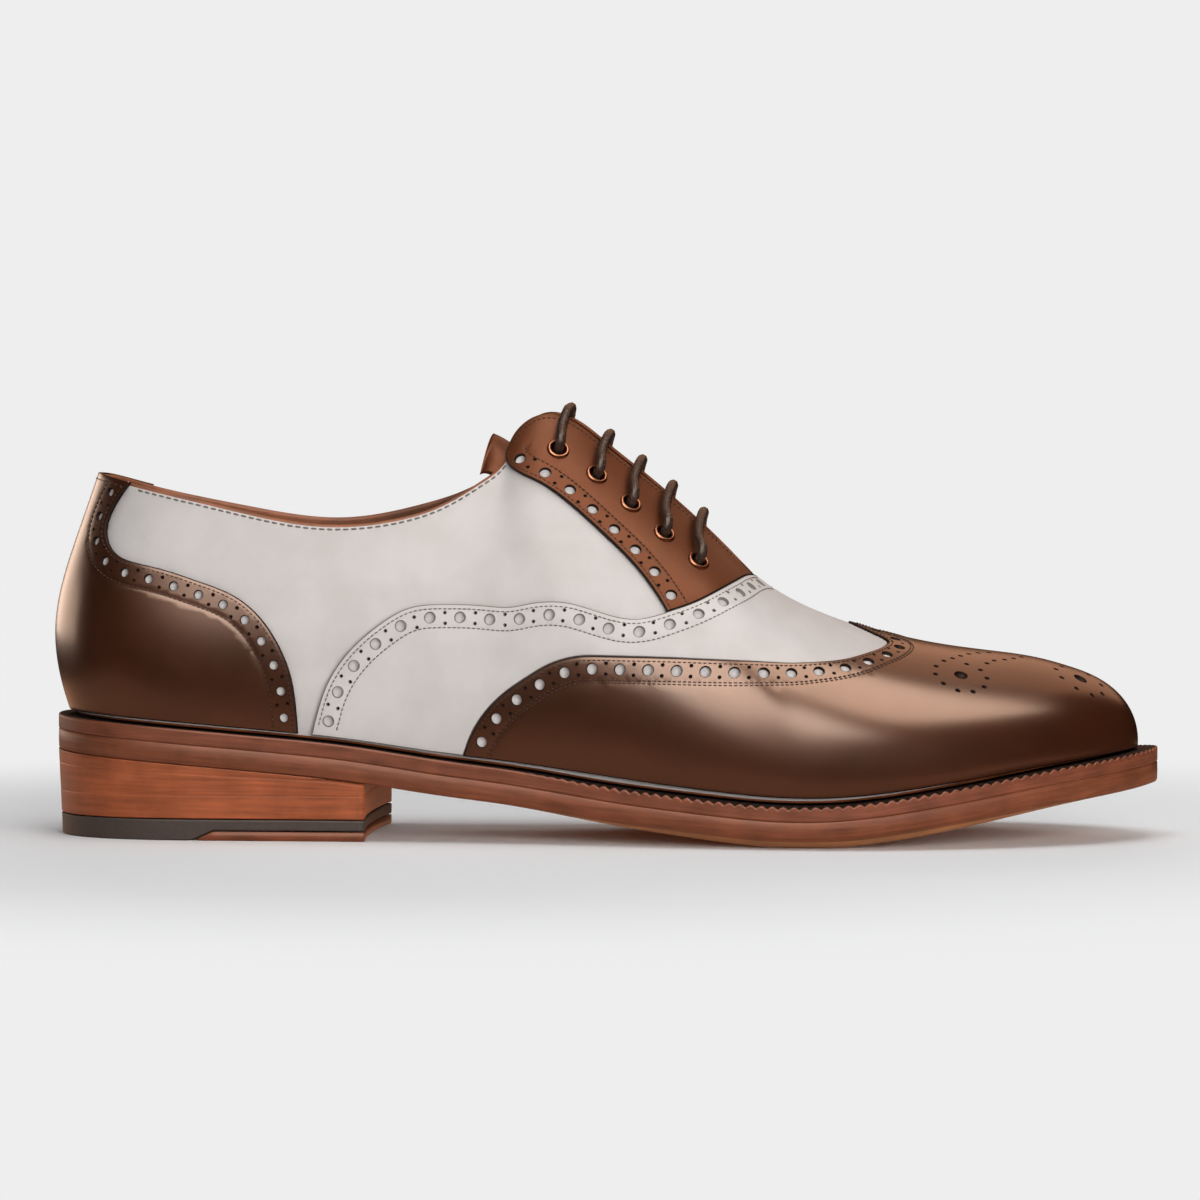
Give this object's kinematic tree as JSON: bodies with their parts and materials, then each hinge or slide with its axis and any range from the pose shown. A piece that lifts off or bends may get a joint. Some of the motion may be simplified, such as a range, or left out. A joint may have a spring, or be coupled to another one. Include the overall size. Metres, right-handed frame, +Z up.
{
  "type": "spectator shoe",
  "caption": "Right two-tone full-brogue Oxford dress shoe, brown wing cap, counter and facings over an off-white upper, laced, on a welted leather sole with a stacked heel.",
  "frame": {"origin": "on the floor, at the middle of the heel's flat underside", "axes": "+X along the sole to the toe, +Y towards the inner side of the foot, +Z up"},
  "size_m": [0.3037, 0.1013, 0.1185],
  "materials": {
    "white_calf": "off-white smooth calf, satin",
    "brown_calf": "chestnut burnished calf, polished",
    "insole_leather": "natural tan leather, matt",
    "welt_leather": "dark brown edge-dressed leather",
    "sole_leather": "red-brown edge-dressed sole leather",
    "heel_leather": "red-brown stacked heel leather",
    "heel_rubber": "dark grey matt rubber",
    "eyelet_metal": "copper-brown enamelled brass",
    "waxed_lace": "round waxed cotton, dark brown"
  },
  "bodies": {
    "root": {"upper": "white_calf", "vamp": "white_calf", "wing_cap": "brown_calf", "counter": "brown_calf", "facing_outer": "brown_calf", "facing_inner": "brown_calf", "tongue": "brown_calf", "insole": "insole_leather", "welt": "welt_leather", "outsole": "sole_leather", "heel_stack": "heel_leather", "heel_rubber": "heel_rubber", "heel_tip": "sole_leather", "eyelet_outer_1": "eyelet_metal", "eyelet_outer_2": "eyelet_metal", "eyelet_outer_3": "eyelet_metal", "eyelet_outer_4": "eyelet_metal", "eyelet_outer_5": "eyelet_metal", "eyelet_inner_1": "eyelet_metal", "eyelet_inner_2": "eyelet_metal", "eyelet_inner_3": "eyelet_metal", "eyelet_inner_4": "eyelet_metal", "eyelet_inner_5": "eyelet_metal", "lace_bar_1": "waxed_lace", "lace_bar_2": "waxed_lace", "lace_bar_3": "waxed_lace", "lace_bar_4": "waxed_lace", "lace_bar_5": "waxed_lace"}
  },
  "joints": []
}
